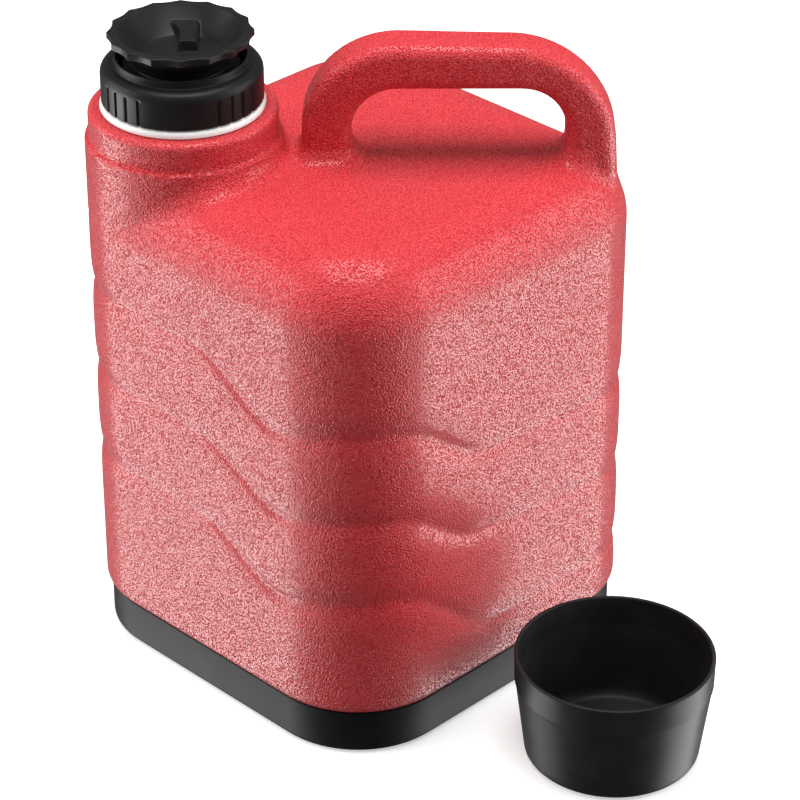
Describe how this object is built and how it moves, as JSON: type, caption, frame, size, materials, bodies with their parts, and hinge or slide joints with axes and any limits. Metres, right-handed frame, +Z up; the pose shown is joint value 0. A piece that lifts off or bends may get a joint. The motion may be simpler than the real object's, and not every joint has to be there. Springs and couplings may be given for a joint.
{
  "type": "insulated jug",
  "caption": "Square insulated jug with a carrying handle, screw collar, screw stopper, press-on base and a loose drinking cup.",
  "frame": {"origin": "centre of the base cover's flat underside, on the surface that the jug stands on", "axes": "+Z up; +X from the neck's corner to the corner under the handle's far leg, so the jug is a mirror image of itself across the XZ plane; -Y towards the corner beside which the cup stands"},
  "size_m": [0.2818, 0.2818, 0.3045],
  "materials": {
    "red_shell": "satin",
    "white_bottle": "satin",
    "black_base": "satin",
    "black_closure": "satin",
    "black_cup": "satin",
    "foam": "matte",
    "seal": "matte"
  },
  "bodies": {
    "jug": {"outer_shell": "red_shell", "foam_insulation": "foam", "inner_bottle": "white_bottle", "base_cover": "black_base", "foam_fill_plug": "black_base"},
    "collar_seal": {"collar_gasket": "seal"},
    "collar": {"pour_collar": "black_closure"},
    "stopper_seal": {"stopper_o_ring": "seal"},
    "stopper": {"stopper_knob": "black_closure", "stopper_plug": "black_closure", "stopper_foam": "foam"},
    "cup": {"drinking_cup": "black_cup"}
  },
  "joints": [
    {"name": "collar_rise", "type": "slide", "parent": "jug", "child": "collar_seal", "axis": [0, 0, 1], "range_m": [0, 0.0076]},
    {"name": "collar_turn", "type": "hinge", "parent": "collar_seal", "child": "collar", "pos_m": [-0.07714, 0, 0.28], "axis": [0, 0, 1], "range_deg": [0, 540]},
    {"name": "stopper_rise", "type": "slide", "parent": "collar", "child": "stopper_seal", "axis": [0, 0, 1], "range_m": [0, 0.0076]},
    {"name": "stopper_turn", "type": "hinge", "parent": "stopper_seal", "child": "stopper", "pos_m": [-0.07714, 0, 0.28], "axis": [0, 0, 1], "range_deg": [0, 540]},
    {"name": "cup_lift", "type": "slide", "parent": "jug", "child": "cup", "axis": [0, 0, 1], "range_m": [0, 0.3]}
  ],
  "couplings": [
    {"joint": "collar_rise", "follows": "collar_turn", "m_per_rad": 0.00079577},
    {"joint": "stopper_rise", "follows": "stopper_turn", "m_per_rad": 0.00079577}
  ]
}
